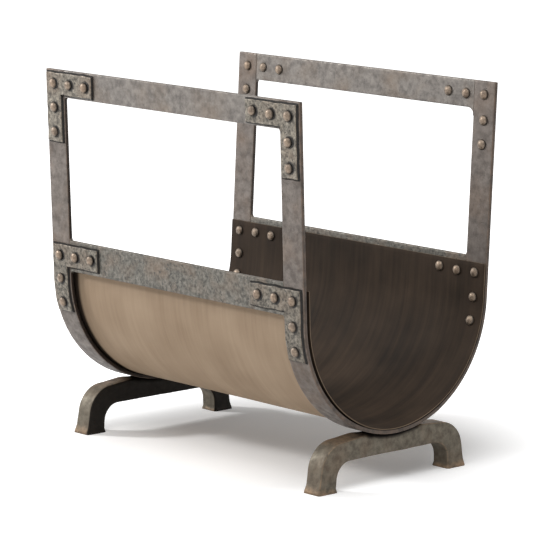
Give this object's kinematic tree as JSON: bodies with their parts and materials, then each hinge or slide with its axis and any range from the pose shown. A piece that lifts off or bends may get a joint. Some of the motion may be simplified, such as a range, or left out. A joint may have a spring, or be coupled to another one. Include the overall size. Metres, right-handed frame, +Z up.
{
  "type": "log holder",
  "caption": "Open iron holder for split firewood: two U-shaped end hoops joined by side rails, riveted corner plates, a curved sheet cradle and two arched feet.",
  "frame": {"origin": "on the floor, under the middle of the holder", "axes": "+Z up, X along the rails and the firewood, +Y from the front side to the rear side"},
  "size_m": [0.46, 0.3418, 0.468],
  "materials": {
    "hoop_bar": "flat iron bar, dark and burnished, brown at its worn edges",
    "rail_bar": "flat iron bar, dark and burnished, pitted towards the corners",
    "hammered_bar": "hammered iron bar with a grey-green patina",
    "plate_iron": "hammered iron plate with dressed edges",
    "rivet_iron": "hand-set rivet heads, burnished to a light brown",
    "foot_iron": "forged iron, dark grey-green, worn to brown on the shoulders",
    "sheet_steel": "rolled sheet with a satin brown oxide and faint streaks",
    "screw_steel": "blackened steel screw"
  },
  "bodies": {
    "root": {"left_hoop": "hoop_bar", "left_foot": "foot_iron", "left_foot_screw": "screw_steel", "right_hoop": "hoop_bar", "right_foot": "foot_iron", "right_foot_screw": "screw_steel", "front_top_rail": "rail_bar", "front_mid_rail": "hammered_bar", "front_left_top_plate": "plate_iron", "front_left_top_rivets": "rivet_iron", "front_left_lower_plate": "plate_iron", "front_left_lower_rivets": "rivet_iron", "front_right_top_plate": "plate_iron", "front_right_top_rivets": "rivet_iron", "front_right_lower_plate": "plate_iron", "front_right_lower_rivets": "rivet_iron", "rear_top_rail": "rail_bar", "rear_mid_rail": "hammered_bar", "rear_left_top_plate": "plate_iron", "rear_left_top_rivets": "rivet_iron", "rear_left_lower_plate": "plate_iron", "rear_left_lower_rivets": "rivet_iron", "rear_right_top_plate": "plate_iron", "rear_right_top_rivets": "rivet_iron", "rear_right_lower_plate": "plate_iron", "rear_right_lower_rivets": "rivet_iron", "cradle_sheet": "sheet_steel"}
  },
  "joints": []
}
